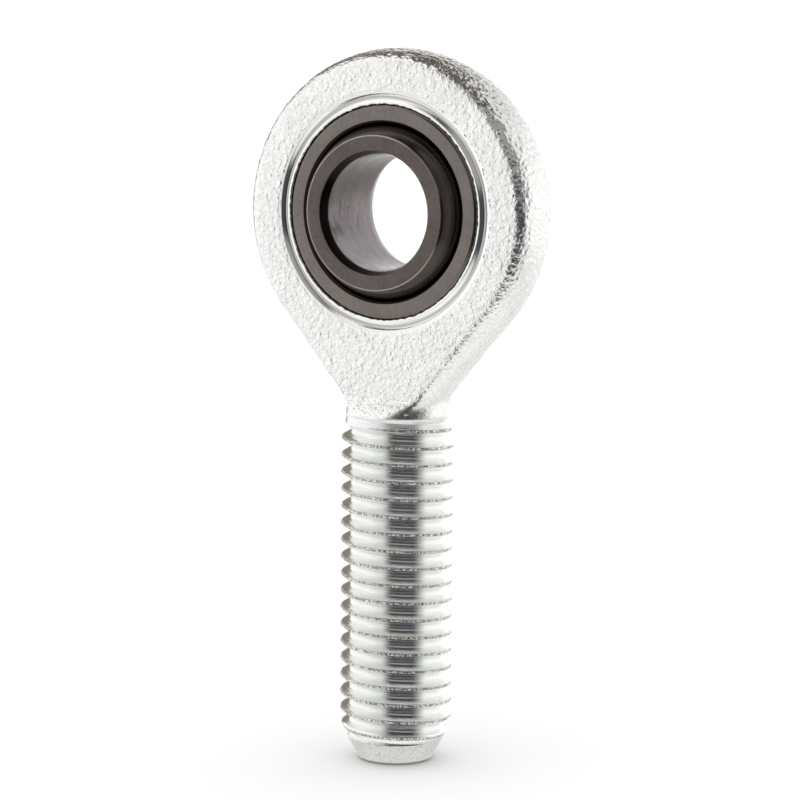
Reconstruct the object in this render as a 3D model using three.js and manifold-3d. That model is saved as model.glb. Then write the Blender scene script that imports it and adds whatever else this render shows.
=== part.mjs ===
// Size-10 male rod end: a zinc-plated forged eye with an M10 left-hand shank, and the
// two-piece spherical plain bearing that is staked into the eye.
//
// Frame, in millimetres: the origin is the centre of the shank's end face; the shank's axis is
// Z, with the eye at the top; the bore axis is parallel to Y, with the front face towards -Y,
// and crosses the Z axis at the ball's centre, BALL_CENTRE_Z above the origin. The pieces are
// drawn round the ball's centre, and one group lifts them into place.
//
// Three separate pieces, one mesh each:
//   housing     eye, neck and threaded shank, one forging
//   outer_ring  steel ring with the concave race, held in the eye by a staked lip on each face
//   inner_ring  the ball with the pin bore, free to turn and tilt in the outer ring

import * as THREE from "three";
import { mergeVertices } from "three/addons/utils/BufferGeometryUtils.js";
import Module from "manifold-3d";

// ---------------------------------------------------------------- driving dimensions (mm)

// Eye of the housing
const EYE_R = 14.0; // outer radius of the eye at mid thickness
const EYE_HALF_T = 2.93; // half the thickness between the two flat faces
const EYE_CROWN = 1.4; // how far the convex rim stands out past the edge of the flat face
const TAPER_DEG = 42.5; // angle of the straight flanks of the eye from the shank axis
const FLANK_END_Z = -15.2; // where the straight flank turns into the neck fillet
const NECK_Z = -16.6; // where the fillet ends in the round neck

// Round neck (collar) above the thread
const NECK_R = 4.4;
const COLLAR_R = 4.53; // lower edge of the collar
const COLLAR_Z = -18.3;

// Seat of the outer ring and the staking on each face
const SEAT_R = 9.515;
const LIP_IN_R = 9.22; // inner edge of the lip, over the ring's chamfer
const LIP_LAND_R = 9.55; // outer edge of the lip's flat top
const GROOVE_R = 9.79; // radius of the groove's bottom
const GROOVE_OUT_R = 10.14; // where the groove meets the eye's face
const GROOVE_DEPTH = 0.3;

// Outer ring
const OUTER_R = 9.5; // D = 19
const OUTER_HALF_W = 3.0; // C = 6
const OUTER_CHAMFER = 0.5;
const RACE_R = 8.05; // concave race, 0.05 larger than the ball: the running clearance
const RACE_EDGE_R = 7.81; // radius where the race chamfer meets the ring's face

// Inner ring
const BALL_R = 8.0; // dk = 16
const INNER_HALF_W = 4.5; // B = 9
const BORE_R = 5.0; // d = 10
const BORE_LEAD_R = 5.29; // bore lead-in at the face
const BORE_LEAD_L = 0.94; // axial length of the lead-in

// Thread M10 x 1.5, left hand
const PITCH = 1.5;
const CREST_R = 4.91;
const ROOT_R = 4.07;
const CREST_FLAT = 0.22;
const ROOT_FLAT = 0.31;
const CREST_Z_AT = -19.665; // height of one crest at CREST_AZIMUTH
const CREST_AZIMUTH = (-149.1 * Math.PI) / 180;
const THREAD_TOP_Z = -18.3;
const TIP_Z = -48.2; // end face of the shank, below the ball's centre
const BALL_CENTRE_Z = -TIP_Z;
const TIP_R = 3.0; // flat of the end face
const TIP_EDGE = 0.25; // rounding between the end face and the end cone

// Facets
const RING_SEGMENTS = 64;
const BALL_STEPS = 8;
const RACE_STEPS = 6;
const TURN_SEGMENTS = 22;

// ---------------------------------------------------------------- solids

const wasm = await Module();
wasm.setup();

// A closed three.js geometry as a manifold-3d solid, for joining and cutting only.
function solid(geometry) {
  const flat = geometry.index ? geometry.toNonIndexed() : geometry.clone();
  flat.deleteAttribute("normal");
  flat.deleteAttribute("uv");
  const merged = mergeVertices(flat, 1e-5);
  const made = new wasm.Manifold(
    new wasm.Mesh({
      numProp: 3,
      vertProperties: new Float32Array(merged.attributes.position.array),
      triVerts: new Uint32Array(merged.index.array),
    }),
  );
  if (made.volume() <= 0) throw new Error("a solid faces inwards");
  return made;
}

// A manifold-3d solid back as a three.js geometry with its own normals.
function geometryOf(made) {
  const mesh = made.getMesh();
  const n = mesh.numProp;
  const points = new Float32Array(mesh.numVert * 3);
  for (let i = 0; i < mesh.numVert; i++)
    points.set(mesh.vertProperties.subarray(i * n, i * n + 3), i * 3);
  const geometry = new THREE.BufferGeometry()
    .setAttribute("position", new THREE.BufferAttribute(points, 3))
    .setIndex(new THREE.BufferAttribute(mesh.triVerts, 1));
  geometry.computeVertexNormals();
  return geometry;
}

// A ring of revolution about Y from a closed profile of [radius, y] points. The points run
// anticlockwise with the radius to the right and y up.
function ringAboutY(points, segments = RING_SEGMENTS) {
  const closed = [...points, points[0]].map(([r, y]) => new THREE.Vector2(r, y));
  return new THREE.LatheGeometry(closed, segments);
}

// A body of revolution about Y from an open profile of [radius, y] points that starts and
// ends on the axis, running upwards.
function bodyAboutY(points, segments = RING_SEGMENTS) {
  return new THREE.LatheGeometry(
    points.map(([r, y]) => new THREE.Vector2(r, y)),
    segments,
  );
}

// A body of revolution about Z from an open profile of [radius, z] points that starts and
// ends on the axis, running upwards.
function bodyAboutZ(points, segments) {
  return bodyAboutY(points, segments).rotateX(Math.PI / 2);
}

// Points of a circular arc, both ends included.
function arc(cx, cy, r, from, to, steps) {
  return Array.from({ length: steps + 1 }, (_, i) => {
    const a = from + ((to - from) * i) / steps;
    return [cx + r * Math.cos(a), cy + r * Math.sin(a)];
  });
}

// ---------------------------------------------------------------- inner ring

const faceR = Math.sqrt(BALL_R ** 2 - INNER_HALF_W ** 2);
const ballEnd = Math.atan2(INNER_HALF_W, faceR);
const innerProfile = [
  [BORE_R, -INNER_HALF_W + BORE_LEAD_L],
  [BORE_R + 0.1, -INNER_HALF_W + BORE_LEAD_L * 0.45],
  [BORE_LEAD_R, -INNER_HALF_W],
  ...arc(0, 0, BALL_R, -ballEnd, ballEnd, BALL_STEPS),
  [BORE_LEAD_R, INNER_HALF_W],
  [BORE_R + 0.1, INNER_HALF_W - BORE_LEAD_L * 0.45],
  [BORE_R, INNER_HALF_W - BORE_LEAD_L],
];

// ---------------------------------------------------------------- outer ring

const raceEdgeY = 2.72; // where the race chamfer ends in the race
const raceEnd = Math.asin(raceEdgeY / RACE_R);
const outerProfile = [
  [RACE_EDGE_R, -OUTER_HALF_W],
  [OUTER_R - OUTER_CHAMFER, -OUTER_HALF_W],
  [OUTER_R, -OUTER_HALF_W + OUTER_CHAMFER],
  [OUTER_R, OUTER_HALF_W - OUTER_CHAMFER],
  [OUTER_R - OUTER_CHAMFER, OUTER_HALF_W],
  [RACE_EDGE_R, OUTER_HALF_W],
  ...arc(0, 0, RACE_R, raceEnd, -raceEnd, RACE_STEPS),
];

// ---------------------------------------------------------------- housing: the eye

// The outline: most of a circle, two straight flanks, a fillet into the neck on each side.
// The flanks are tangent to the circle, so their angle fixes the tangent points.
const taper = (TAPER_DEG * Math.PI) / 180;
const tangent = [EYE_R * Math.cos(taper), -EYE_R * Math.sin(taper)];
const flankX = (z) => tangent[0] - (tangent[1] - z) * Math.tan(taper);
const outline = new THREE.Shape();
const right = [
  ...arc(0, 0, EYE_R, Math.PI / 2, -taper, 30),
  [flankX(FLANK_END_Z), FLANK_END_Z],
  [4.72, -15.62],
  [4.5, -16.06],
  [NECK_R + 0.01, NECK_Z],
  [4.2, -17.2],
  [3.9, -17.8],
  [3.8, -19.9],
];
outline.moveTo(...right[0]);
for (const p of right.slice(1)) outline.lineTo(...p);
for (const [x, z] of right.slice(1).reverse()) outline.lineTo(-x, z);
outline.closePath();
const eye = new THREE.ExtrudeGeometry(outline, {
  depth: 0.02,
  bevelEnabled: true,
  bevelThickness: EYE_HALF_T - 0.01,
  bevelSize: EYE_CROWN,
  bevelOffset: -EYE_CROWN,
  bevelSegments: 5,
  curveSegments: 1,
})
  .translate(0, 0, -0.01)
  .rotateX(Math.PI / 2);

// ---------------------------------------------------------------- housing: the neck

// Round neck and collar, running up into the eye ...
const neck = bodyAboutZ(
  [
    [0, -20.5],
    [3.6, -20.5],
    [3.7, -19.2],
    [ROOT_R - 0.01, COLLAR_Z - 0.4],
    [COLLAR_R, COLLAR_Z],
    [COLLAR_R - 0.02, COLLAR_Z + 0.25],
    [NECK_R, NECK_Z - 0.5],
    [NECK_R, -14.2],
    [0, -12.0],
  ],
  40,
);
// ... and the flare that brings the flat faces out to it.
const flareSide = [
  [EYE_HALF_T - 0.005, -10.5],
  [EYE_HALF_T - 0.005, -15.4],
  [3.0, -15.95],
  [3.19, -16.25],
  [3.5, -16.55],
  [3.93, -16.92],
  [4.25, -17.32],
  [4.42, -17.66],
  [4.6, -18.2],
  [4.6, -21.0],
];
const flareShape = new THREE.Shape();
flareShape.moveTo(...flareSide[0]);
for (const p of flareSide.slice(1)) flareShape.lineTo(...p);
for (const [y, z] of [...flareSide].reverse()) flareShape.lineTo(-y, z);
flareShape.closePath();
const flare = new THREE.ExtrudeGeometry(flareShape, {
  depth: 12,
  bevelEnabled: false,
})
  .translate(0, 0, -6)
  .rotateX(Math.PI / 2)
  .rotateZ(Math.PI / 2);

// ---------------------------------------------------------------- housing: the thread

// The rows of this grid follow the helix: one turn along a row climbs by one pitch, so the
// crests and the roots stay sharp with four points in each pitch.
function thread(zLow, zHigh) {
  const flank = (PITCH - CREST_FLAT - ROOT_FLAT) / 2;
  const profile = [
    [CREST_R, -CREST_FLAT / 2],
    [CREST_R, CREST_FLAT / 2],
    [ROOT_R, CREST_FLAT / 2 + flank],
    [ROOT_R, CREST_FLAT / 2 + flank + ROOT_FLAT],
  ];
  const per = profile.length;
  const turns = Math.ceil((zHigh - zLow) / PITCH) + 2;
  const rows = turns * per + 1;
  const start = CREST_Z_AT + PITCH * Math.floor((zLow - CREST_Z_AT) / PITCH);
  const points = [];
  const at = (i, j) => {
    // Column TURN_SEGMENTS is column 0 one pitch lower: a left-hand thread falls as the
    // angle grows.
    const wrapped = i === TURN_SEGMENTS;
    return (wrapped ? 0 : i) * (rows + per) + (wrapped ? j - per : j) + per;
  };
  for (let i = 0; i < TURN_SEGMENTS; i++)
    for (let j = -per; j < rows; j++) {
      const [r, dz] = profile[((j % per) + per) % per];
      const a = CREST_AZIMUTH + (2 * Math.PI * i) / TURN_SEGMENTS;
      const z =
        start + PITCH * Math.floor(j / per) + dz - (PITCH * i) / TURN_SEGMENTS;
      points.push(r * Math.cos(a), r * Math.sin(a), z);
    }
  const faces = [];
  for (let i = 0; i < TURN_SEGMENTS; i++)
    for (let j = 0; j < rows - 1; j++) {
      const a = at(i, j),
        b = at(i + 1, j),
        c = at(i + 1, j + 1),
        d = at(i, j + 1);
      faces.push(a, b, c, a, c, d);
    }
  // Ends: a fan from a point on the axis to the open edge, step included.
  const loop = (row) => {
    const ring = [];
    for (let i = 0; i <= TURN_SEGMENTS; i++) ring.push(at(i, row));
    return ring;
  };
  const low = loop(0);
  for (let j = -per + 1; j < 0; j++) low.push(at(0, j));
  const high = loop(rows - 1);
  for (let j = rows - per; j < rows - 1; j++) high.push(at(0, j));
  const lowCentre = points.length / 3;
  points.push(0, 0, start - PITCH * 2);
  const highCentre = points.length / 3;
  points.push(0, 0, start + PITCH * (turns + 1));
  low.forEach((v, k) => faces.push(lowCentre, low[(k + 1) % low.length], v));
  high.forEach((v, k) => faces.push(highCentre, v, high[(k + 1) % high.length]));
  return new THREE.BufferGeometry()
    .setAttribute("position", new THREE.Float32BufferAttribute(points, 3))
    .setIndex(faces);
}

// What the thread is turned down to: run-out under the collar, end cone and end face.
const envelope = bodyAboutZ(
  [
    [0, TIP_Z],
    [TIP_R, TIP_Z],
    [TIP_R + 0.17, TIP_Z + 0.07],
    [TIP_R + TIP_EDGE, TIP_Z + 0.25],
    [4.25, -46.3],
    [4.74, -45.0],
    [CREST_R + 0.1, -43.6],
    [CREST_R + 0.1, -19.7],
    [CREST_R - 0.12, -19.0],
    [ROOT_R + 0.05, THREAD_TOP_Z - 0.2],
    [0, THREAD_TOP_Z - 0.2],
  ],
  44,
);

// ---------------------------------------------------------------- housing: seat and staking

// Everything inside the seat, between the two lips.
const lipY = EYE_HALF_T - 0.13;
const seatCut = bodyAboutY([
  [0, -6],
  [LIP_IN_R, -6],
  [LIP_IN_R, -lipY],
  [SEAT_R, -OUTER_HALF_W + OUTER_CHAMFER],
  [SEAT_R, OUTER_HALF_W - OUTER_CHAMFER],
  [LIP_IN_R, lipY],
  [LIP_IN_R, 6],
  [0, 6],
]);
const grooveTop = EYE_HALF_T + 0.3;
const widen = (0.3 / GROOVE_DEPTH) * (GROOVE_OUT_R - GROOVE_R);
const narrow = (0.3 / GROOVE_DEPTH) * (GROOVE_R - LIP_LAND_R);
const groove = (side) =>
  ringAboutY(
    side > 0
      ? [
          [GROOVE_R, EYE_HALF_T - GROOVE_DEPTH],
          [GROOVE_OUT_R + widen, grooveTop],
          [LIP_LAND_R - narrow, grooveTop],
        ]
      : [
          [GROOVE_R, -EYE_HALF_T + GROOVE_DEPTH],
          [LIP_LAND_R - narrow, -grooveTop],
          [GROOVE_OUT_R + widen, -grooveTop],
        ],
  );

const housing = solid(eye)
  .add(solid(neck).intersect(solid(flare)))
  .add(solid(thread(-49, -16.5)).intersect(solid(envelope)))
  .subtract(solid(seatCut))
  .subtract(solid(groove(1)))
  .subtract(solid(groove(-1)));

// ---------------------------------------------------------------- the scene graph

const zinc = new THREE.MeshStandardMaterial({
  name: "zinc",
  color: 0xd9dcda,
  roughness: 0.32,
  metalness: 0.9,
});
const phosphate = new THREE.MeshStandardMaterial({
  name: "phosphated_steel",
  color: 0x6a6360,
  roughness: 0.55,
  metalness: 0.6,
});
const ball = new THREE.MeshStandardMaterial({
  name: "phosphated_ball",
  color: 0x55504f,
  roughness: 0.45,
  metalness: 0.6,
});

function piece(name, geometry, material) {
  const mesh = new THREE.Mesh(geometry, material);
  mesh.name = name;
  return mesh;
}

const rodEnd = new THREE.Group();
rodEnd.name = "rod_end";

const bearing = new THREE.Group();
bearing.name = "bearing";
bearing.add(piece("outer_ring", ringAboutY(outerProfile), phosphate));
bearing.add(piece("inner_ring", ringAboutY(innerProfile), ball));

rodEnd.add(piece("housing", geometryOf(housing), zinc));
rodEnd.add(bearing);
rodEnd.position.set(0, 0, BALL_CENTRE_Z);

const part = new THREE.Group();
part.name = "rod_end_in_place";
part.add(rodEnd);

export default part;
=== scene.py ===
import math

import bpy
import numpy as np
from mathutils import Matrix, Vector, noise


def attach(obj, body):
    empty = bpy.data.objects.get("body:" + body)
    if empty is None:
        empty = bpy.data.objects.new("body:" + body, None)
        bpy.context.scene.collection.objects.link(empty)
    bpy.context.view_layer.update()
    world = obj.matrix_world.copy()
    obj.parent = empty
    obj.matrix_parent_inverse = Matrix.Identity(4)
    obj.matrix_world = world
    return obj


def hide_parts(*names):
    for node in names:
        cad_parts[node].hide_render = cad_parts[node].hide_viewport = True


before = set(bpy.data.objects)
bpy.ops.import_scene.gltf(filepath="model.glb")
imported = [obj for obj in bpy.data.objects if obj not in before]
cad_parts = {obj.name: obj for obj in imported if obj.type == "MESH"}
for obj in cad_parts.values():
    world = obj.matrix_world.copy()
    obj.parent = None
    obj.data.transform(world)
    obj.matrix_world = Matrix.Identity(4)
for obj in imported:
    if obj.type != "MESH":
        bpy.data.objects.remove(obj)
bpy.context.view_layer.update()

MM = 0.001
LIFT = 48.2  # the shapes are drawn round the ball's centre, this far above the frame's origin

# ------------------------------------------------------------------ shape helpers (mm)


def smin(a, b, k):
    h = np.maximum(k - np.abs(a - b), 0.0) / k
    return np.minimum(a, b) - h * h * k * 0.25


def smax(a, b, k):
    return -smin(-a, -b, k)


def ramp(x, a, b):
    """Smooth step from 0 at a to 1 at b."""
    t = np.clip((x - a) / (b - a), 0.0, 1.0)
    return t * t * (3 - 2 * t)


def arc_points(cx, cy, r, a0, a1, n):
    """Points on a circular arc, degrees, both ends included."""
    a = np.radians(np.linspace(a0, a1, n + 1))
    return [(cx + r * math.cos(t), cy + r * math.sin(t)) for t in a]


def rounded(points, radii, steps=4, closed=False):
    """A polyline with each inner corner turned into an arc of its radius."""
    pts = [np.array(p, float) for p in points]
    n = len(pts)
    out = []
    for i in range(n):
        r = radii[i]
        if r <= 0 or (not closed and i in (0, n - 1)):
            out.append(tuple(pts[i]))
            continue
        p, a, b = pts[i], pts[i - 1], pts[(i + 1) % n]
        u, v = a - p, b - p
        lu, lv = np.linalg.norm(u), np.linalg.norm(v)
        u, v = u / lu, v / lv
        half = math.acos(max(-1.0, min(1.0, float(u @ v)))) / 2
        cut = min(r / math.tan(half), 0.49 * lu, 0.49 * lv)
        rr = cut * math.tan(half)
        centre = p + (u + v) / np.linalg.norm(u + v) * (rr / math.sin(half))
        s, e = p + u * cut - centre, p + v * cut - centre
        angle = math.acos(max(-1.0, min(1.0, float(s @ e) / (rr * rr))))
        sign = 1.0 if s[0] * e[1] - s[1] * e[0] > 0 else -1.0
        for k in range(steps + 1):
            t = sign * angle * k / steps
            c, q = math.cos(t), math.sin(t)
            out.append(
                (centre[0] + s[0] * c - s[1] * q, centre[1] + s[0] * q + s[1] * c)
            )
    return out


def dense(points, step):
    """Extra points along long straight stretches, so that no edge is longer than step."""
    out = [points[0]]
    for a, b in zip(points[:-1], points[1:]):
        n = max(1, math.ceil(math.dist(a, b) / step))
        for k in range(1, n + 1):
            out.append((a[0] + (b[0] - a[0]) * k / n, a[1] + (b[1] - a[1]) * k / n))
    return out


def make_mesh(name, verts, faces, smooth=True):
    """verts in mm, faces as lists of indices with repeats dropped."""
    clean = []
    for f in faces:
        g = []
        for v in f:
            if not g or g[-1] != v:
                g.append(int(v))
        if len(g) > 1 and g[0] == g[-1]:
            g.pop()
        if len(g) >= 3 and len(set(g)) == len(g):
            clean.append(g)
    used = sorted({v for f in clean for v in f})
    place = {v: i for i, v in enumerate(used)}
    mesh = bpy.data.meshes.new(name)
    mesh.from_pydata(
        [
            (verts[v][0] * MM, verts[v][1] * MM, (verts[v][2] + LIFT) * MM)
            for v in used
        ],
        [],
        [[place[v] for v in f] for f in clean],
    )
    mesh.validate()
    mesh.update()
    if smooth:
        mesh.polygons.foreach_set("use_smooth", [True] * len(mesh.polygons))
    obj = bpy.data.objects.new(name, mesh)
    bpy.context.scene.collection.objects.link(obj)
    return obj


# ------------------------------------------------------------------ the housing's surface

EYE_R, EYE_H, CROWN = 14.0, 2.93, 1.4
TA = math.radians(42.5)
CA, SA = math.cos(TA), math.sin(TA)
NECK_END = -17.2  # where the eye's grid meets the shank's grid
BLANK_R = 4.51  # the rolling blank of the shank
PITCH = 1.5

FLARE_Z = np.array([-30.0, -18.6, -18.25, -17.95, -17.66, -17.38, -16.89, -16.51, -16.20, -15.95, -15.6, -15.1, -14.0, 20.0])
FLARE_Y = np.array([5.4, 4.80, 4.66, 4.55, 4.44, 4.28, 3.92, 3.50, 3.17, 3.02, 2.945, 2.93, 2.93, 2.93])


def flare(z):
    """How far the flat faces stand from the mid plane: they swing out to meet the round neck."""
    z = np.asarray(z, float)
    total = np.zeros_like(z)
    for o, w in ((-0.16, 1), (-0.08, 2), (0.0, 3), (0.08, 2), (0.16, 1)):
        total = total + w * np.interp(z + o, FLARE_Z, FLARE_Y)
    return total / 9.0


def neck_radius(z):
    return 4.40 + 0.11 * ramp(-np.asarray(z, float), 16.4, 17.7)


def inside(x, z):
    """Distance inside the eye's outline: a circle and two straight flanks tangent to it."""
    x = np.abs(x)
    return np.where(
        x * SA + z * CA < 0, EYE_R - (x * CA - z * SA), EYE_R - np.hypot(x, z)
    )


def outline_field(x, z):
    """Square of the half thickness before the flat faces cut it; zero on the outline."""
    d = inside(x, z)
    crown = CROWN * (0.50 + 0.50 * ramp(z, -15.5, -8.5))
    u = d / crown
    eye = np.where(
        d < crown,
        EYE_H**2 * (2 * u - u * u),
        EYE_H**2 + 3.0 * np.maximum(d - crown, 0) ** 2,
    )
    neck = neck_radius(z) ** 2 - x * x - 10.0 * np.maximum(z + 11.5, 0) ** 2
    return smax(eye, neck, 9.5)


def half_thickness(x, z):
    g = smin(outline_field(x, z), flare(z) ** 2, 0.5)
    return np.sqrt(np.maximum(g, 0.0))


def outline_points(spacing):
    """The mid-plane outline from the right of the neck, over the top, to its left."""
    right = []
    for z in np.linspace(NECK_END, -15.0, 60):
        lo, hi = 3.0, 7.0
        for _ in range(50):
            mid = (lo + hi) / 2
            if outline_field(np.array([mid]), np.array([z]))[0] > 0:
                lo = mid
            else:
                hi = mid
        right.append((lo, z))
    tangent = (EYE_R * CA, -EYE_R * SA)
    for t in np.linspace(0, 1, 40)[1:]:
        right.append(
            (
                right[59][0] * (1 - t) + tangent[0] * t,
                right[59][1] * (1 - t) + tangent[1] * t,
            )
        )
    right += arc_points(0, 0, EYE_R, -42.5, 90, 400)[1:]
    pts = np.array(right)
    pts = np.vstack([pts, (pts[:-1] * (-1, 1))[::-1]])
    s = np.concatenate([[0], np.cumsum(np.hypot(*np.diff(pts, axis=0).T))])
    n = int(round(s[-1] / spacing))
    at = np.linspace(0, s[-1], n + 1)
    return np.column_stack([np.interp(at, s, pts[:, 0]), np.interp(at, s, pts[:, 1])])


# The seat and the staking, as [radius, half thickness] from the face inwards to the seat.
LIP = [
    (10.20, 2.930),
    (10.15, 2.916),
    (10.105, 2.878),
    (9.93, 2.725),
    (9.86, 2.672),
    (9.80, 2.652),
    (9.755, 2.665),
    (9.71, 2.70),
    (9.55, 2.86),
    (9.51, 2.895),
    (9.465, 2.925),
    (9.40, 2.942),
    (9.33, 2.942),
    (9.27, 2.925),
    (9.225, 2.885),
    (9.210, 2.835),
    (9.225, 2.79),
    (9.515, 2.49),
    (9.515, 0.9),
]


def build_housing():
    outline = outline_points(0.22)
    n_front = 56
    alpha = np.linspace(-math.pi / 2, math.pi / 2, n_front + 1)
    r_end = float(neck_radius(NECK_END))
    # Ray ends: the outline from the right corner over to the left one, then the neck's
    # front half from the left corner to the right.
    ends = [tuple(p) for p in outline[1:-1]]
    ends = [(r_end, NECK_END)] + ends + [(-r_end, NECK_END)]
    n_out = len(ends)
    for a in alpha[1:-1]:
        ends.append((r_end * math.sin(a), NECK_END))
    ends = np.array(ends)
    K = len(ends)
    rho_end = np.hypot(ends[:, 0], ends[:, 1])
    ux, uz = ends[:, 0] / rho_end, ends[:, 1] / rho_end

    rho0 = LIP[0][0]
    J = 37
    S = 700
    q = np.linspace(0, 1, S)
    rho = rho_end[:, None] - (rho_end[:, None] - rho0) * (1 - q[None, :]) ** 2
    X, Z = rho * ux[:, None], rho * uz[:, None]
    H = half_thickness(X, Z)
    on_outline = np.zeros(K, bool)
    on_outline[:n_out] = True
    H[on_outline, -1] = 0.0
    step = np.sqrt(np.diff(X) ** 2 + np.diff(Z) ** 2 + np.diff(H) ** 2)
    length = np.concatenate([np.zeros((K, 1)), np.cumsum(step, axis=1)], axis=1)
    grid = np.zeros((K, J + 1, 3))
    for k in range(K):
        want = np.linspace(0, length[k, -1], J + 1)
        grid[k, :, 0] = np.interp(want, length[k], X[k])
        grid[k, :, 2] = np.interp(want, length[k], Z[k])
        grid[k, :, 1] = np.interp(want, length[k], H[k])

    verts, faces = [], []
    forged = []  # 1 on the forged skin, 0 on rolled, staked and hidden metal
    helix = []  # distance from the nearest thread root along the shank, 0 to half a pitch

    def add(p, f, s=0.3):
        verts.append(p)
        forged.append(f)
        helix.append(s)
        return len(verts) - 1

    front = np.zeros((K, J + 1), int)
    back = np.zeros((K, J + 1), int)
    for k in range(K):
        for j in range(J + 1):
            x, h, z = grid[k, j]
            r = math.hypot(x, z)
            f = float(ramp(r, 10.2, 10.6)) * (0.7 + 0.3 * float(ramp(z, -17.25, -16.5)))
            front[k, j] = add((x, -h, z), f)
            back[k, j] = (
                front[k, j] if (j == J and on_outline[k]) else add((x, h, z), f)
            )
    lip_front = np.zeros((K, len(LIP)), int)
    lip_back = np.zeros((K, len(LIP)), int)
    lip_front[:, 0], lip_back[:, 0] = front[:, 0], back[:, 0]
    for k in range(K):
        for m, (r, h) in enumerate(LIP[1:], 1):
            # the staked edge is torn a little all the way round
            ragged = float(ramp(h, 2.78, 2.86)) * float(ramp(9.44 - r, 0.0, 0.16))
            for side, ids in ((-1, lip_front), (1, lip_back)):
                q = Vector((9.2 * ux[k], side * 5.0, 9.2 * uz[k]))
                e = ragged * (0.075 * noise.noise(q / 0.42) + 0.045 * noise.noise(q / 0.22))
                ids[k, m] = add(((r + e) * ux[k], side * (h - 0.4 * abs(e)), (r + e) * uz[k]), 0.0)
    for k in range(K):
        n = (k + 1) % K
        for j in range(J):
            faces.append((front[k, j], front[k, j + 1], front[n, j + 1], front[n, j]))
            faces.append((back[k, j], back[n, j], back[n, j + 1], back[k, j + 1]))
        for m in range(len(LIP) - 1):
            faces.append(
                (lip_front[k, m], lip_front[n, m], lip_front[n, m + 1], lip_front[k, m + 1])
            )
            faces.append(
                (lip_back[k, m], lip_back[k, m + 1], lip_back[n, m + 1], lip_back[n, m])
            )
        faces.append(
            (lip_front[k, -1], lip_front[n, -1], lip_back[n, -1], lip_back[k, -1])
        )

    # The ring where the shank begins: left corner, front to the right corner, then the back.
    left = n_out - 1
    order = [left] + list(range(n_out, K)) + [0]
    ring = [int(front[k, J]) for k in order] + [
        int(back[k, J]) for k in order[-2:0:-1]
    ]
    N = len(ring)
    theta = -math.pi + 2 * math.pi * np.arange(N) / N

    # Rolled thread, left hand: the rows follow the helix.
    crest_r, root_r = 4.885, 4.075
    prof = [
        (0.0, crest_r - 0.006),
        (0.045, crest_r - 0.003),
        (0.085, crest_r - 0.024),
        (0.125, crest_r - 0.072),
        (0.165, crest_r - 0.136),
        (0.340, crest_r - 0.440),
        (0.520, root_r + 0.058),
        (0.545, root_r + 0.042),
        (0.635, root_r + 0.010),
        (0.670, root_r + 0.002),
        (PITCH / 2, root_r),
    ]
    prof = prof + [(PITCH - s, r) for s, r in prof[-2:0:-1]]
    m = len(prof)
    s_prof = np.array([p[0] for p in prof])
    r_prof = np.array([p[1] for p in prof])
    theta0 = math.radians(-149.1)
    # Height of a crest at theta = -180 degrees, above the start of the shank's grid.
    crest0 = -19.665 - PITCH * (-math.pi - theta0) / (2 * math.pi)
    while crest0 < NECK_END + PITCH * 1.05:
        crest0 += PITCH
    cone_z = -46.85
    turns = int(math.ceil((crest0 - cone_z) / PITCH)) + 2
    rows = turns * m
    idx = np.arange(rows)
    s_all = PITCH * (idx // m) + s_prof[idx % m]
    r_all = r_prof[idx % m]

    tip_z = np.array([-60, -48.2, -46.35, -45.7, -45.0, -44.3, -43.6, 0])
    tip_r = np.array([-3.64, 3.20, 4.19, 4.50, 4.76, 4.94, 5.1, 5.2])

    def shank_radius(th, z, r):
        lift = ramp(-z, 17.9, 19.5)
        cut = ramp(-z, 17.45, 18.55)
        base = neck_radius(z)
        out = base + lift * np.maximum(r - base, 0) + cut * np.minimum(r - base, 0)
        out = smin(out, np.interp(z, tip_z, tip_r), 0.08)
        filled = np.minimum(root_r + 0.17 * ramp(-z, 45.5, 46.3), np.interp(z, tip_z, tip_r))
        out = np.where(z < -45.5, smax(out, filled, 0.05), out)
        limit = flare(z) / max(abs(math.sin(th)), 1e-6)
        return np.where(z > -18.6, smin(out, limit, 0.06), out)

    low = [add((0, 0, 0), 0.5) for _ in range(N)]
    for i in range(N):
        r = float(np.interp(cone_z, tip_z, tip_r))
        verts[low[i]] = (r * math.cos(theta[i]), r * math.sin(theta[i]), cone_z)
    ids = np.zeros((N, rows), int)
    for i in range(N):
        z = crest0 - s_all - PITCH * i / N
        r = shank_radius(theta[i], z, r_all)
        c, s = math.cos(theta[i]), math.sin(theta[i])
        for j in range(rows):
            if z[j] > NECK_END - 0.03:
                ids[i, j] = ring[i]
            elif z[j] < cone_z + 0.03:
                ids[i, j] = low[i]
            else:
                threaded = float(ramp(-z[j], 18.0, 18.6))
                d = abs(s_all[j] % PITCH - PITCH / 2)
                torn = threaded * float(ramp(d, 0.56, 0.68))
                q = Vector((r[j] * c, r[j] * s, z[j]))
                e = torn * (0.034 * noise.noise(q / 0.55) + 0.028 * noise.noise(q / 0.30))
                end = float(ramp(-z[j], 45.2, 46.2))
                ids[i, j] = add(
                    ((r[j] + e) * c, (r[j] + e) * s, z[j]),
                    max(0.6 * (1 - float(ramp(-z[j], 17.7, 18.3))), 0.5 * end),
                    0.3 + (d - 0.3) * threaded * (1 - float(ramp(-z[j], 45.95, 46.6))),
                )
    for i in range(N):
        for j in range(rows - m - 1):
            if i + 1 < N:
                b0, b1 = ids[i + 1, j], ids[i + 1, j + 1]
            else:
                b0, b1 = ids[0, j + m], ids[0, j + m + 1]
            faces.append((ids[i, j], ids[i, j + 1], b1, b0))
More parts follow.
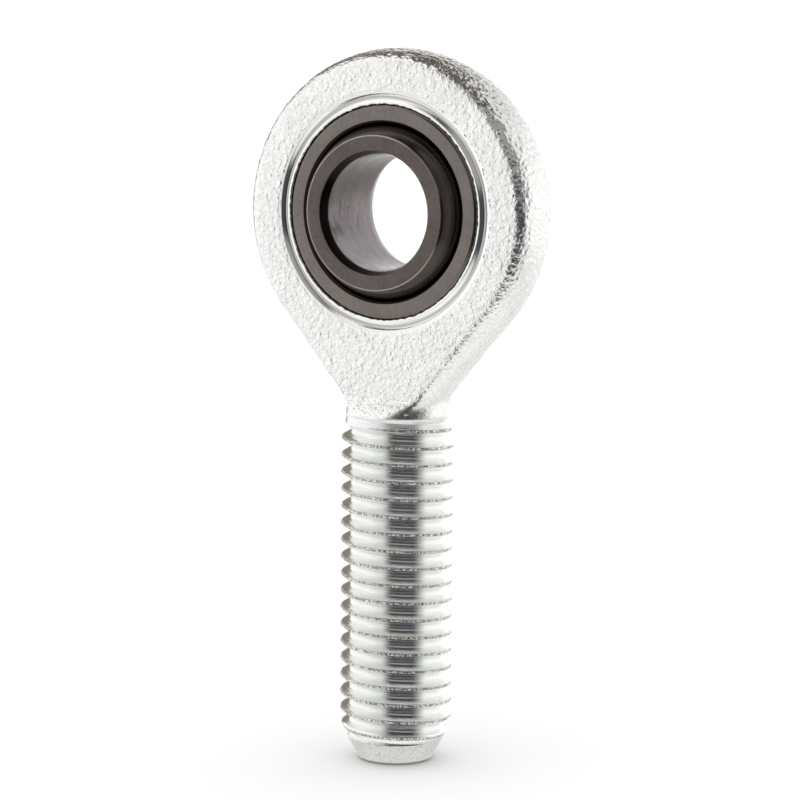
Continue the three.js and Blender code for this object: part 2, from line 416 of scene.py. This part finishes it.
    # End cone, edge and face.
    tip = [
        (3.842, -47.0),
        (3.692, -47.28),
        (3.526, -47.59),
        (3.377, -47.87),
        (3.296, -48.02),
        (3.255, -48.10),
        (3.215, -48.155),
        (3.145, -48.19),
        (3.05, -48.2),
        (2.1, -48.2),
        (1.4, -48.2),
        (0.7, -48.2),
    ]
    above = low
    for r, z in tip:
        here = [
            add((r * math.cos(t), r * math.sin(t), z), 0.5 if z > -48.05 else 0.25) for t in theta
        ]
        for i in range(N):
            n = (i + 1) % N
            faces.append((above[i], here[i], here[n], above[n]))
        above = here
    centre = add((0, 0, -48.2), 0.0)
    for i in range(N):
        faces.append((above[i], centre, above[(i + 1) % N]))

    # Forged skin: the mesh itself is uneven, in soft grains about half a millimetre across.
    obj = make_mesh("housing_forging", verts, faces)
    mesh = obj.data
    # make_mesh keeps vertices in order, so the mask follows the used ones.
    used = sorted({int(v) for f in faces for v in f})
    mask = np.array([forged[v] for v in used])
    turn = np.array([helix[v] for v in used])
    co = np.zeros(len(mesh.vertices) * 3)
    mesh.vertices.foreach_get("co", co)
    co = co.reshape(-1, 3)
    no = np.zeros(len(mesh.vertices) * 3)
    mesh.vertex_normals.foreach_get("vector", no)
    no = no.reshape(-1, 3)
    for i in np.nonzero(mask > 0.01)[0]:
        p = Vector(co[i] / MM)
        a = noise.noise(p / 0.50)
        b = noise.noise(p / 0.27 + Vector((7.1, 3.3, 1.7)))
        c = noise.noise(p / 3.1 + Vector((2.1, 9.3, 4.7)))
        deep = 0.06 + 0.94 * float(ramp(p.z - LIFT, -16.9, -15.4))
        co[i] += no[i] * MM * mask[i] * deep * (0.042 * a + 0.017 * b + 0.030 * c)
    mesh.vertices.foreach_set("co", co.ravel())
    mesh.update()
    attribute = mesh.attributes.new("forged", "FLOAT", "POINT")
    attribute.data.foreach_set("value", mask.astype(np.float32))
    attribute = mesh.attributes.new("helix", "FLOAT", "POINT")
    attribute.data.foreach_set("value", turn.astype(np.float32))
    return obj


# ------------------------------------------------------------------ the bearing's rings


def lathe_y(name, profile, columns):
    """A closed profile of [radius, y], anticlockwise, turned about Y."""
    verts, faces = [], []
    n = len(profile)
    for i in range(columns):
        t = 2 * math.pi * i / columns
        for r, y in profile:
            verts.append((r * math.cos(t), y, -r * math.sin(t)))
    for i in range(columns):
        a, b = i * n, ((i + 1) % columns) * n
        for k in range(n):
            k2 = (k + 1) % n
            faces.append((a + k, b + k, b + k2, a + k2))
    return make_mesh(name, verts, faces)


def build_inner_ring():
    ball, half, bore = 8.0, 4.5, 5.0
    face_r = math.sqrt(ball**2 - half**2)
    end = math.degrees(math.atan2(half, face_r))
    side = [
        (bore, 3.0),
        (bore, 3.48),
        (5.006, 3.54),
        (5.028, 3.62),
        (5.05, 3.69),
        (5.15, 4.01),
        (5.25, 4.335),
        (5.278, 4.425),
        (5.297, 4.47),
        (5.325, 4.493),
        (5.36, 4.5),
    ]
    outer = [
        (face_r - 0.10, 4.5),
        (face_r - 0.062, 4.493),
        (face_r - 0.030, 4.470),
        (face_r - 0.004, 4.440),
    ]
    ball_arc = arc_points(0, 0, ball, end - 0.75, -(end - 0.75), 72)
    top = [(bore, y) for y in (-3.0, -1.5, 0.0, 1.5)] + side
    top += dense([side[-1], outer[0]], 0.3)[1:] + outer[1:]
    low = [(r, -y) for r, y in (side + dense([side[-1], outer[0]], 0.3)[1:] + outer[1:])][::-1]
    profile = top + ball_arc + low[:-1]
    return lathe_y("inner_ring_ball", profile[::-1], 288)


def build_outer_ring():
    race, half, od = 8.05, 3.0, 9.5
    edge_y = 2.70
    edge_r = math.sqrt(race**2 - edge_y**2)
    end = math.degrees(math.atan2(edge_y, edge_r))
    upper = rounded(
        [
            (od, 2.0),
            (od, half - 0.56),
            (od - 0.56, half),
            (7.85, half),
            (edge_r, edge_y),
            (edge_r - 0.0, edge_y),
        ][:5],
        [0, 0.06, 0.05, 0.05, 0],
        3,
    )
    upper = dense(upper, 0.35)
    race_arc = arc_points(0, 0, race, end, -end, 36)[1:-1]
    lower = [(r, -y) for r, y in upper][::-1]
    profile = [(od, 0.0)] + upper + race_arc + lower
    return lathe_y("outer_ring_race", profile, 288)


housing = build_housing()
outer_ring = build_outer_ring()
inner_ring = build_inner_ring()

# ------------------------------------------------------------------ materials


def material(name):
    m = bpy.data.materials.new(name)
    m.use_nodes = True
    m.node_tree.nodes.clear()
    return m


class Nodes:
    """Short names for building node trees."""

    def __init__(self, tree):
        self.tree = tree

    def new(self, kind, **values):
        n = self.tree.nodes.new(kind)
        for k, v in values.items():
            setattr(n, k, v)
        return n

    def link(self, a, b):
        self.tree.links.new(a, b)

    def put(self, socket, value):
        if hasattr(value, "links") or isinstance(value, bpy.types.NodeSocket):
            self.tree.links.new(value, socket)
        else:
            socket.default_value = value

    def math(self, op, a, b=None, c=None, clamp=False):
        n = self.new("ShaderNodeMath", operation=op, use_clamp=clamp)
        self.put(n.inputs[0], a)
        if b is not None:
            self.put(n.inputs[1], b)
        if c is not None:
            self.put(n.inputs[2], c)
        return n.outputs[0]

    def remap(self, v, a, b, c, d, smooth=True):
        n = self.new("ShaderNodeMapRange", interpolation_type="SMOOTHSTEP" if smooth else "LINEAR")
        self.put(n.inputs["Value"], v)
        for key, x in (("From Min", a), ("From Max", b), ("To Min", c), ("To Max", d)):
            self.put(n.inputs[key], x)
        return n.outputs["Result"]

    def noise(self, vector, scale, detail=2.0, rough=0.5, distortion=0.0):
        n = self.new("ShaderNodeTexNoise")
        self.put(n.inputs["Vector"], vector)
        n.inputs["Scale"].default_value = scale
        n.inputs["Detail"].default_value = detail
        n.inputs["Roughness"].default_value = rough
        n.inputs["Distortion"].default_value = distortion
        return n.outputs["Fac"]

    def grains(self, vector, scale, smoothness=0.6):
        """1 at the middle of a rounded grain, falling to 0 in the valleys between grains."""
        n = self.new("ShaderNodeTexVoronoi", feature="SMOOTH_F1")
        self.put(n.inputs["Vector"], vector)
        n.inputs["Scale"].default_value = scale
        n.inputs["Smoothness"].default_value = smoothness
        return self.remap(n.outputs["Distance"], 0.05, 0.75, 1, 0)

    def mix(self, f, a, b, blend="MIX"):
        n = self.new("ShaderNodeMix", data_type="RGBA", blend_type=blend)
        self.put(n.inputs[0], f)
        self.put(n.inputs[6], a)
        self.put(n.inputs[7], b)
        return n.outputs[2]

    def bump(self, height, strength, distance, normal=None):
        n = self.new("ShaderNodeBump")
        self.put(n.inputs["Height"], height)
        n.inputs["Strength"].default_value = strength
        n.inputs["Distance"].default_value = distance
        if normal is not None:
            self.link(normal, n.inputs["Normal"])
        return n.outputs["Normal"]


def zinc_material():
    m = material("zinc_plate")
    k = Nodes(m.node_tree)
    out = k.new("ShaderNodeOutputMaterial")
    bsdf = k.new("ShaderNodeBsdfPrincipled")
    k.link(bsdf.outputs[0], out.inputs[0])
    pos = k.new("ShaderNodeTexCoord").outputs["Object"]
    forged = k.new("ShaderNodeAttribute", attribute_name="forged").outputs["Fac"]
    helix = k.new("ShaderNodeAttribute", attribute_name="helix").outputs["Fac"]
    crest = k.remap(helix, 0.59, 0.66, 0, 1)
    up = k.new("ShaderNodeSeparateXYZ")
    k.link(k.new("ShaderNodeNewGeometry").outputs["Normal"], up.inputs[0])
    cloud = k.noise(pos, 330, 3.0, 0.6)
    fine = k.noise(pos, 9000, 2.0, 0.5)
    speck = k.noise(pos, 5600, 2.0, 0.55)
    # clear passivation: neutral; the faint green-yellow on the flanks that face up is a painted tint of the light
    # from above
    base = k.mix(k.remap(cloud, 0.35, 0.68, 0, 1), (0.915, 0.912, 0.900, 1), (0.945, 0.941, 0.928, 1))
    rolled = k.math("SUBTRACT", 1.0, forged)
    high = k.new("ShaderNodeSeparateXYZ")
    k.link(pos, high.inputs[0])
    shank = k.math("MULTIPLY", k.remap(high.outputs[2], 0.0308, 0.0302, 0, 1), rolled)
    base = k.mix(shank, base, (0.855, 0.868, 0.870, 1))
    # painted tint: upward-facing flanks of the thread turn green-yellow, as if lit from above
    painted_tint_from_above = k.math("MULTIPLY", k.remap(up.outputs[2], 0.35, 0.8, 0, 1), shank)
    base = k.mix(painted_tint_from_above, base, (0.865, 0.885, 0.825, 1))
    # painted shade: the flanks of the thread that face down are darkened
    under = k.math("MULTIPLY", k.remap(up.outputs[2], -0.70, -0.35, 1, 0), k.remap(helix, 0.30, 0.58, 0, 1))
    base = k.mix(k.math("MULTIPLY", k.math("MULTIPLY", under, shank), 0.12), base, (0.52, 0.53, 0.55, 1))
    # the seam along each crest holds dark specks
    seam = k.remap(helix, 0.615, 0.67, 0, 1)
    dark = k.math("MULTIPLY", seam, k.remap(speck, 0.45, 0.55, 1, 0))
    base = k.mix(k.math("MULTIPLY", dark, 0.85), base, (0.22, 0.185, 0.15, 1))
    # painted shade darkens the deeper pits of the forged skin
    painted_pit_shade = k.math("MULTIPLY", forged, k.remap(k.noise(pos, 3300, 2.5, 0.6), 0.34, 0.47, 1, 0))
    base = k.mix(k.math("MULTIPLY", painted_pit_shade, 0.26), base, (0.46, 0.44, 0.41, 1))
    # painted shade in the valleys between the forged skin's grains
    painted_valley_shade = k.math("MULTIPLY", forged, k.remap(k.grains(pos, 2700), 0.30, 0.62, 1, 0))
    base = k.mix(k.math("MULTIPLY", painted_valley_shade, 0.14), base, (0.55, 0.535, 0.51, 1))
    # painted shade in deeper, sparser pits where the faces run down to the neck, stronger where the surface faces
    # -Y
    flare_zone = k.math("MULTIPLY", k.remap(high.outputs[2], 0.0304, 0.0309, 0, 1), k.remap(high.outputs[2], 0.0322, 0.0336, 1, 0))
    hole = k.math("MULTIPLY", flare_zone, k.remap(k.noise(pos, 4300, 2.0, 0.6), 0.37, 0.42, 1, 0))
    hole = k.math("MULTIPLY", hole, k.remap(up.outputs[1], -0.55, -0.35, 1, 0.25))
    base = k.mix(k.math("MULTIPLY", hole, 0.72), base, (0.30, 0.275, 0.245, 1))
    # dirt and shadowed plate at the bottom of the groove outside the staked lip
    across = k.math("SUBTRACT", high.outputs[2], LIFT * MM)
    eye = k.math("SQRT", k.math("ADD", k.math("MULTIPLY", high.outputs[0], high.outputs[0]), k.math("MULTIPLY", across, across)))
    groove = k.math("MULTIPLY", k.remap(eye, 0.00969, 0.00977, 0, 1), k.remap(eye, 0.00988, 0.01002, 1, 0))
    groove = k.math("MULTIPLY", groove, k.remap(k.math("ABSOLUTE", high.outputs[1]), 0.0024, 0.0026, 0, 1))
    base = k.mix(k.math("MULTIPLY", groove, 0.62), base, (0.27, 0.26, 0.25, 1))
    # the turned point: duller, with a dark corner
    point = k.remap(high.outputs[2], 0.0020, 0.0024, 1, 0)
    mottle = k.remap(k.noise(pos, 4200, 3.0, 0.65), 0.30, 0.50, 0, 1)
    base = k.mix(point, base, k.mix(mottle, (0.50, 0.485, 0.455, 1), (0.715, 0.71, 0.69, 1)))
    base = k.mix(k.remap(high.outputs[2], 0.00013, 0.00030, 0.92, 0), base, (0.17, 0.135, 0.105, 1))
    side = k.math("ABSOLUTE", up.outputs[1])
    skin = k.math("MULTIPLY", forged, k.remap(side, 0.80, 0.45, 0, 1))
    # painted dark reflection: brown patches over the top of the rim
    crown = k.math("MULTIPLY", skin, k.remap(high.outputs[2], 0.0545, 0.0600, 0, 1))
    crown = k.math("MULTIPLY", crown, k.remap(k.noise(pos, 2100, 2.0, 0.6), 0.44, 0.60, 1, 0))
    base = k.mix(k.math("MULTIPLY", crown, 0.42), base, (0.30, 0.265, 0.225, 1))
    k.put(bsdf.inputs["Base Color"], base)
    bsdf.inputs["Metallic"].default_value = 1.0
    rough_forged = k.remap(fine, 0.3, 0.7, 0.12, 0.20)
    rough_thread = k.remap(cloud, 0.3, 0.7, 0.09, 0.14)
    rough = k.math("ADD", k.math("MULTIPLY", rough_forged, forged), k.math("MULTIPLY", rough_thread, rolled))
    collar = k.math("MULTIPLY", k.remap(high.outputs[2], 0.0296, 0.0301, 0, 1), k.remap(high.outputs[2], 0.0318, 0.0328, 1, 0))
    rough = k.math("ADD", rough, k.math("MULTIPLY", collar, 0.14))
    rough = k.math("ADD", rough, k.math("MULTIPLY", point, 0.16))
    k.put(bsdf.inputs["Roughness"], k.math("ADD", rough, k.math("MULTIPLY", crest, 0.06)))
    calm = k.remap(high.outputs[2], 0.0312, 0.0332, 0.30, 1)
    h1 = k.math("MULTIPLY", k.math("MULTIPLY", k.math("ADD", k.math("MULTIPLY", k.noise(pos, 2900, 1.5, 0.5), 0.6), k.math("MULTIPLY", k.grains(pos, 2700), 0.45)), forged), calm)
    fine_side = k.math("MULTIPLY", k.math("MULTIPLY", forged, calm), k.remap(side, 0.93, 0.55, 1, 0.35))
    h2 = k.math("MULTIPLY", k.noise(pos, 6200, 1.5, 0.5), fine_side)
    h3 = k.math("MULTIPLY", speck, crest)
    rings = k.math("SINE", k.math("MULTIPLY", helix, 2 * math.pi / 0.15))
    h4 = k.math("MULTIPLY", k.math("MULTIPLY", rings, k.remap(helix, 0.40, 0.60, 1, 0)), rolled)
    skin = k.math("MULTIPLY", skin, k.remap(high.outputs[2], 0.0325, 0.0365, 0, 1))
    skin = k.math("MULTIPLY", skin, k.remap(high.outputs[2], 0.0500, 0.0570, 0.28, 1))
    h5 = k.math("MULTIPLY", k.grains(pos, 2000), skin)
    h6 = k.math("MULTIPLY", k.noise(pos, 8000, 1.5, 0.5), fine_side)
    n = k.bump(h1, 1.0, 0.000080)
    n = k.bump(h2, 1.0, 0.000046, n)
    n = k.bump(h5, 1.0, 0.00007, n)
    n = k.bump(h3, 1.0, 0.00012, n)
    n = k.bump(h4, 1.0, 0.000004, n)
    n = k.bump(h6, 1.0, 0.000022, n)
    n = k.bump(fine, 0.6, 0.00001, n)
    k.link(n, bsdf.inputs["Normal"])
    return m


def phosphate_material(name, dark, light, rough_lo, rough_hi, bored=False):
    m = material(name)
    k = Nodes(m.node_tree)
    out = k.new("ShaderNodeOutputMaterial")
    bsdf = k.new("ShaderNodeBsdfPrincipled")
    k.link(bsdf.outputs[0], out.inputs[0])
    pos = k.new("ShaderNodeTexCoord").outputs["Object"]
    at = k.new("ShaderNodeSeparateXYZ")
    k.link(pos, at.inputs[0])
    x, y, z = at.outputs
    z = k.math("SUBTRACT", z, LIFT * MM)
    radius = k.math("SQRT", k.math("ADD", k.math("MULTIPLY", x, x), k.math("MULTIPLY", z, z)))
    a = k.noise(pos, 3200, 3.0, 0.6)
    b = k.noise(pos, 420, 2.0, 0.5)
    mixf = k.math("ADD", k.math("MULTIPLY", a, 0.6), k.math("MULTIPLY", b, 0.4))
    base = k.mix(k.remap(mixf, 0.36, 0.64, 0, 1), dark, light)
    rough = k.remap(a, 0.3, 0.7, rough_lo, rough_hi)
    # turning marks: fine rings about the bore
    rings = k.new("ShaderNodeCombineXYZ")
    k.put(rings.inputs[0], k.math("MULTIPLY", radius, 1.0))
    k.put(rings.inputs[1], y)
    k.put(rings.inputs[2], k.math("MULTIPLY", k.math("ARCTAN2", z, x), 0.0004))
    lathe = k.noise(rings.outputs[0], 9000, 2.0, 0.6)
    if bored:
        hole = k.remap(radius, 0.00505, 0.00515, 1, 0)
        streak = k.new("ShaderNodeCombineXYZ")
        k.put(streak.inputs[0], k.math("MULTIPLY", x, 0.6))
        k.put(streak.inputs[1], y)
        k.put(streak.inputs[2], k.math("MULTIPLY", z, 0.6))
        s1 = k.noise(streak.outputs[0], 1100, 4.0, 0.6, 0.8)
        s2 = k.noise(pos, 700, 2.0, 0.5)
        bore_streaks_and_painted_light = k.mix(k.remap(s1, 0.36, 0.62, 0, 1), (0.088, 0.073, 0.067, 1), (0.180, 0.160, 0.168, 1))
        bore_streaks_and_painted_light = k.mix(k.remap(s2, 0.40, 0.60, 0, 0.6), bore_streaks_and_painted_light, (0.150, 0.130, 0.138, 1))
        # painted light and shade on the bore wall: lighter towards the back, the bottom and the far edge, darker
        # towards the top
        bore_streaks_and_painted_light = k.mix(k.remap(y, -0.002, 0.0045, 0, 0.7), bore_streaks_and_painted_light, (0.270, 0.240, 0.245, 1))
        bore_streaks_and_painted_light = k.mix(k.remap(z, -0.0008, 0.0032, 0, 0.75), bore_streaks_and_painted_light, (0.088, 0.070, 0.062, 1))
        bore_streaks_and_painted_light = k.mix(k.remap(z, -0.0034, -0.0014, 0.55, 0), bore_streaks_and_painted_light, (0.34, 0.31, 0.315, 1))
        bore_streaks_and_painted_light = k.mix(k.remap(y, 0.0034, 0.0042, 0, 0.6), bore_streaks_and_painted_light, (0.36, 0.34, 0.345, 1))
        base = k.mix(hole, base, bore_streaks_and_painted_light)
        # painted shade: the lead-in chamfer of the bore is darkened nearly to black
        lead = k.math("MULTIPLY", k.remap(radius, 0.00502, 0.00504, 0, 1), k.remap(radius, 0.00529, 0.00532, 1, 0))
        base = k.mix(k.math("MULTIPLY", lead, 0.75), base, (0.030, 0.026, 0.024, 1))
        # painted shade on the ball's sphere, in the gap inside the outer ring
        ball = k.remap(radius, 0.00662, 0.00668, 0, 1)
        base = k.mix(k.math("MULTIPLY", ball, 0.65), base, (0.062, 0.052, 0.048, 1))
        rough = k.math("ADD", rough, k.math("MULTIPLY", hole, k.remap(s1, 0.3, 0.7, 0.10, -0.02)))
        # painted highlight: a bright line where the face meets the ball
        painted_edge_highlight = k.math("MULTIPLY", k.remap(radius, 0.00650, 0.00655, 0, 1), k.remap(radius, 0.00661, 0.00665, 1, 0))
        painted_edge_highlight = k.math("MULTIPLY", painted_edge_highlight, k.remap(k.math("ABSOLUTE", y), 0.00438, 0.00443, 0, 1))
        base = k.mix(k.math("MULTIPLY", painted_edge_highlight, 0.55), base, (0.50, 0.45, 0.42, 1))
    k.put(bsdf.inputs["Base Color"], base)
    bsdf.inputs["Metallic"].default_value = 1.0
    k.put(bsdf.inputs["Roughness"], rough)
    n = k.bump(a, 0.35, 0.00001)
    n = k.bump(lathe, 0.5, 0.000004, n)
    k.link(n, bsdf.inputs["Normal"])
    return m


housing.data.materials.append(zinc_material())
outer_ring.data.materials.append(
    phosphate_material("phosphate_ring", (0.168, 0.148, 0.137, 1), (0.202, 0.178, 0.164, 1), 0.22, 0.28)
)
inner_ring.data.materials.append(
    phosphate_material("phosphate_ball", (0.098, 0.083, 0.077, 1), (0.126, 0.107, 0.099, 1), 0.15, 0.20, True)
)

for piece, body, node, slot in (
    (housing, "frame", "housing", "zinc"),
    (outer_ring, "frame", "outer_ring", "phosphated_ring"),
    (inner_ring, "ball", "inner_ring", "phosphated_ball"),
):
    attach(piece, body)
    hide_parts(node)

# ------------------------------------------------------------------ camera

RIGHT = Vector((0.86821164, 0.49613911, 0.00738416))
DOWN = Vector((0.06821743, -0.10460941, -0.99217098))
AHEAD = Vector((-0.49148237, 0.86191813, -0.12466844))
cam_data = bpy.data.cameras.new("camera")
cam_data.sensor_width = 36.0
cam_data.lens = 2795.25 / 800 * 36
cam_data.clip_start = 0.01
cam_data.clip_end = 20
camera = bpy.data.objects.new("camera", cam_data)
camera.matrix_world = Matrix.Translation(
    Vector((0.11976304, -0.20963907, 0.01388827 + LIFT * MM))
) @ Matrix((RIGHT, -DOWN, -AHEAD)).transposed().to_4x4()
bpy.context.scene.collection.objects.link(camera)
bpy.context.scene.camera = camera

# ------------------------------------------------------------------ studio

floor_mesh = bpy.data.meshes.new("floor")
w = 6.0
floor_mesh.from_pydata(
    [(-w, -w, 0), (w, -w, 0), (w, w, 0), (-w, w, 0)],
    [],
    [(0, 1, 2, 3)],
)
floor = bpy.data.objects.new("floor", floor_mesh)
bpy.context.scene.collection.objects.link(floor)
fm = material("floor_white")
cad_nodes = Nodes(fm.node_tree)
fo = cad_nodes.new("ShaderNodeOutputMaterial")
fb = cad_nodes.new("ShaderNodeBsdfDiffuse")
fb.inputs[0].default_value = (0.95, 0.95, 0.95, 1)
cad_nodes.link(fb.outputs[0], fo.inputs[0])
floor_mesh.materials.append(fm)
floor.visible_glossy = False

# A white tent with a dark opening on the camera's side and a few greyer gaps.
WHITE = 1.16
world = bpy.data.worlds.new("studio")
bpy.context.scene.world = world
world.use_nodes = True
world.node_tree.nodes.clear()
wk = Nodes(world.node_tree)
wo = wk.new("ShaderNodeOutputWorld")
bg = wk.new("ShaderNodeBackground")
axes = wk.new("ShaderNodeSeparateXYZ")
wk.link(wk.new("ShaderNodeTexCoord").outputs["Generated"], axes.inputs[0])
dx, dy, dz = axes.outputs
# azimuth 0 is -Y, +90 is +X; elevation is up
azimuth = wk.math("MULTIPLY", wk.math("ARCTAN2", dx, wk.math("MULTIPLY", dy, -1.0)), 180 / math.pi)
elevation = wk.math("MULTIPLY", wk.math("ARCSINE", dz), 180 / math.pi)


def window(v, a, b, c, d):
    """1 between b and c, falling to 0 at a and d."""
    return wk.math("MULTIPLY", wk.remap(v, a, b, 0, 1), wk.remap(v, c, d, 1, 0))


def patch(under, az, el, colour, depth=1.0):
    """Lays a soft-edged patch of a colour over these angles."""
    cover = window(elevation, *el)
    if az is not None:
        cover = wk.math("MULTIPLY", window(azimuth, *az), cover)
    return wk.mix(wk.math("MULTIPLY", cover, depth), under, (*colour, 1))


BROWN = (0.135, 0.120, 0.105)
light = wk.mix(0.0, (0.76, 0.76, 0.755, 1), (0, 0, 0, 1))
light = patch(light, None, (-32, -6, 8, 34), (1.0, 1.0, 1.0))
light = patch(light, None, (-92, -91, -50, -34), (0.88, 0.885, 0.86))
light = patch(light, (-56, -4, 92, 116), (-62, -40, 44, 70), (0.55, 0.55, 0.545), 0.5)
# overhead, and behind the object to the left
light = patch(light, None, (64, 78, 91, 92), BROWN)
light = patch(light, (-181, -180, -116, -86), (33, 45, 91, 92), BROWN)
light = patch(light, (166, 176, 181, 182), (34, 46, 91, 92), BROWN)
# the camera's own side
light = patch(light, (-104, -88, -36, -12), (26, 38, 66, 78), (1.0, 1.0, 0.99))
light = patch(light, (-10, 20, 70, 111), (-39, -27, 91, 92), (0.056, 0.056, 0.060))
light = patch(light, (-2, 24, 66, 102), (10, 20, 52, 64), (0.30, 0.297, 0.29))
light = patch(light, (-148, -142, -127, -113), (-12, -4, 34, 46), (0.19, 0.158, 0.135), 0.95)
path = wk.new("ShaderNodeLightPath")
plain = wk.math("MAXIMUM", path.outputs["Is Camera Ray"], path.outputs["Is Diffuse Ray"])
wk.put(bg.inputs[0], wk.mix(plain, light, (1, 1, 1, 1)))
wk.put(bg.inputs[1], WHITE)
wk.link(bg.outputs[0], wo.inputs[0])
bpy.context.scene.view_settings.view_transform = "Standard"
